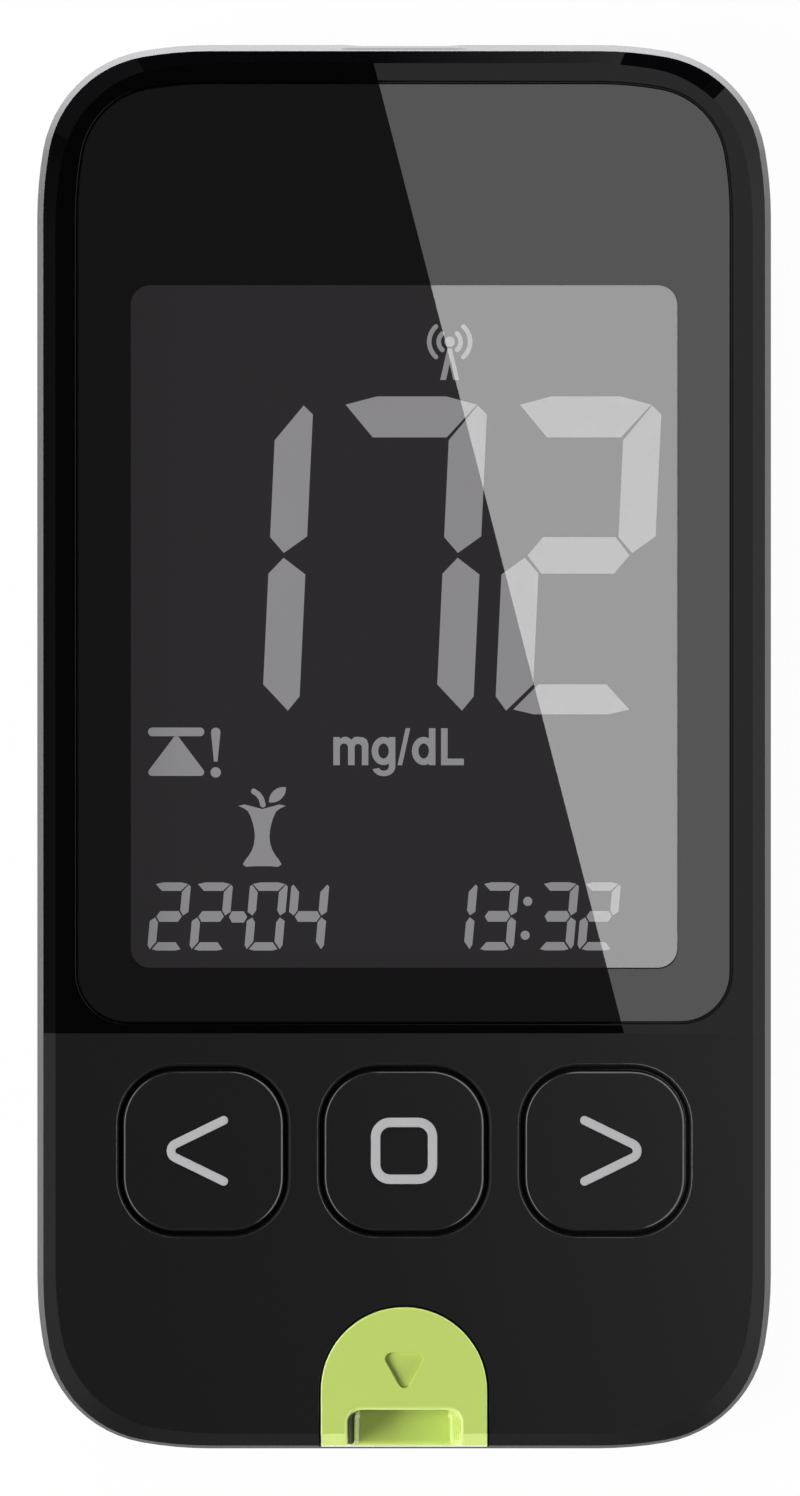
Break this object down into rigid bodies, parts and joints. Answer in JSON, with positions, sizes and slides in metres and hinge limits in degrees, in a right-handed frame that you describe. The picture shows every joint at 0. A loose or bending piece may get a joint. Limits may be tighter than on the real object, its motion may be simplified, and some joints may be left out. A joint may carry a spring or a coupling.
{
  "type": "blood glucose meter",
  "caption": "Pocket blood glucose meter with a soft-cornered case, large display under a flush lens, rounded-square keys, a test strip port, a strip ejector and a battery door.",
  "frame": {"origin": "middle of the footprint, on the plane the meter lies on", "axes": "+Z out of the display, +Y towards the top end, +X to the user's right"},
  "size_m": [0.0482, 0.0922, 0.0142],
  "materials": {
    "front_cover": "polished above the keys, fine texture below",
    "lens": "polished hard-coated acrylic with a dark printed border",
    "adhesive": "matt",
    "foam": "matt",
    "polariser": "satin film",
    "cell_glass": "clear",
    "light_guide": "clear acrylic",
    "white_plastic": "matt white",
    "led": "moulded",
    "elastomer": "matt",
    "board": "solder mask",
    "chip": "moulded epoxy",
    "tin": "tinned",
    "silicone": "matt",
    "keys": "fine texture with light printed marks",
    "spring_steel": "bright",
    "gold": "gold plated",
    "port_green": "satin",
    "natural_plastic": "moulded",
    "rear_cover": "satin graphite",
    "cell_can": "satin",
    "screw": "black zinc",
    "label": "blank satin film"
  },
  "bodies": {
    "case": {"front_cover": "front_cover", "display_lens": "lens", "lens_tape": "adhesive", "display_gasket": "foam", "front_polariser": "polariser", "front_glass": "cell_glass", "rear_glass": "cell_glass", "rear_polariser": "polariser", "light_guide": "light_guide", "reflector_sheet": "white_plastic", "backlight_leds": "led", "display_frame": "white_plastic", "contact_strip": "elastomer", "main_board": "board", "main_chip": "chip", "memory_chip": "chip", "radio_module": "tin", "timing_crystal": "tin", "buzzer": "chip", "keypad_mat": "silicone", "left_snap_dome": "spring_steel", "main_snap_dome": "spring_steel", "right_snap_dome": "spring_steel", "strip_port": "port_green", "strip_connector": "natural_plastic", "strip_contacts": "gold", "data_port_shell": "tin", "data_port_tongue": "chip", "rear_cover": "rear_cover", "left_coin_cell": "cell_can", "right_coin_cell": "cell_can", "negative_contacts": "spring_steel", "positive_contacts": "spring_steel", "ejector_spring": "spring_steel", "case_screws": "screw", "board_screws": "screw", "rear_label": "label"},
    "left_key": {"left_button": "keys"},
    "main_key": {"main_button": "keys"},
    "right_key": {"right_button": "keys"},
    "ejector": {"ejector_slider": "rear_cover"},
    "door": {"battery_door": "rear_cover"}
  },
  "joints": [
    {"name": "left_button_press", "type": "slide", "parent": "case", "child": "left_key", "axis": [0, 0, -1], "range_m": [0, 0.0005], "stiffness_N_per_m": 800, "springref_m": -0.001, "deforming": ["left_snap_dome", "keypad_mat"]},
    {"name": "main_button_press", "type": "slide", "parent": "case", "child": "main_key", "axis": [0, 0, -1], "range_m": [0, 0.0005], "stiffness_N_per_m": 800, "springref_m": -0.001, "deforming": ["main_snap_dome", "keypad_mat"]},
    {"name": "right_button_press", "type": "slide", "parent": "case", "child": "right_key", "axis": [0, 0, -1], "range_m": [0, 0.0005], "stiffness_N_per_m": 800, "springref_m": -0.001, "deforming": ["right_snap_dome", "keypad_mat"]},
    {"name": "ejector_slide", "type": "slide", "parent": "case", "child": "ejector", "axis": [0, -1, 0], "range_m": [0, 0.004], "stiffness_N_per_m": 300, "springref_m": -0.002, "deforming": ["ejector_spring"]},
    {"name": "battery_door_hinge", "type": "hinge", "parent": "case", "child": "door", "pos_m": [0, 0.0102, 0.001], "axis": [-1, 0, 0], "range_deg": [0, 75]}
  ]
}
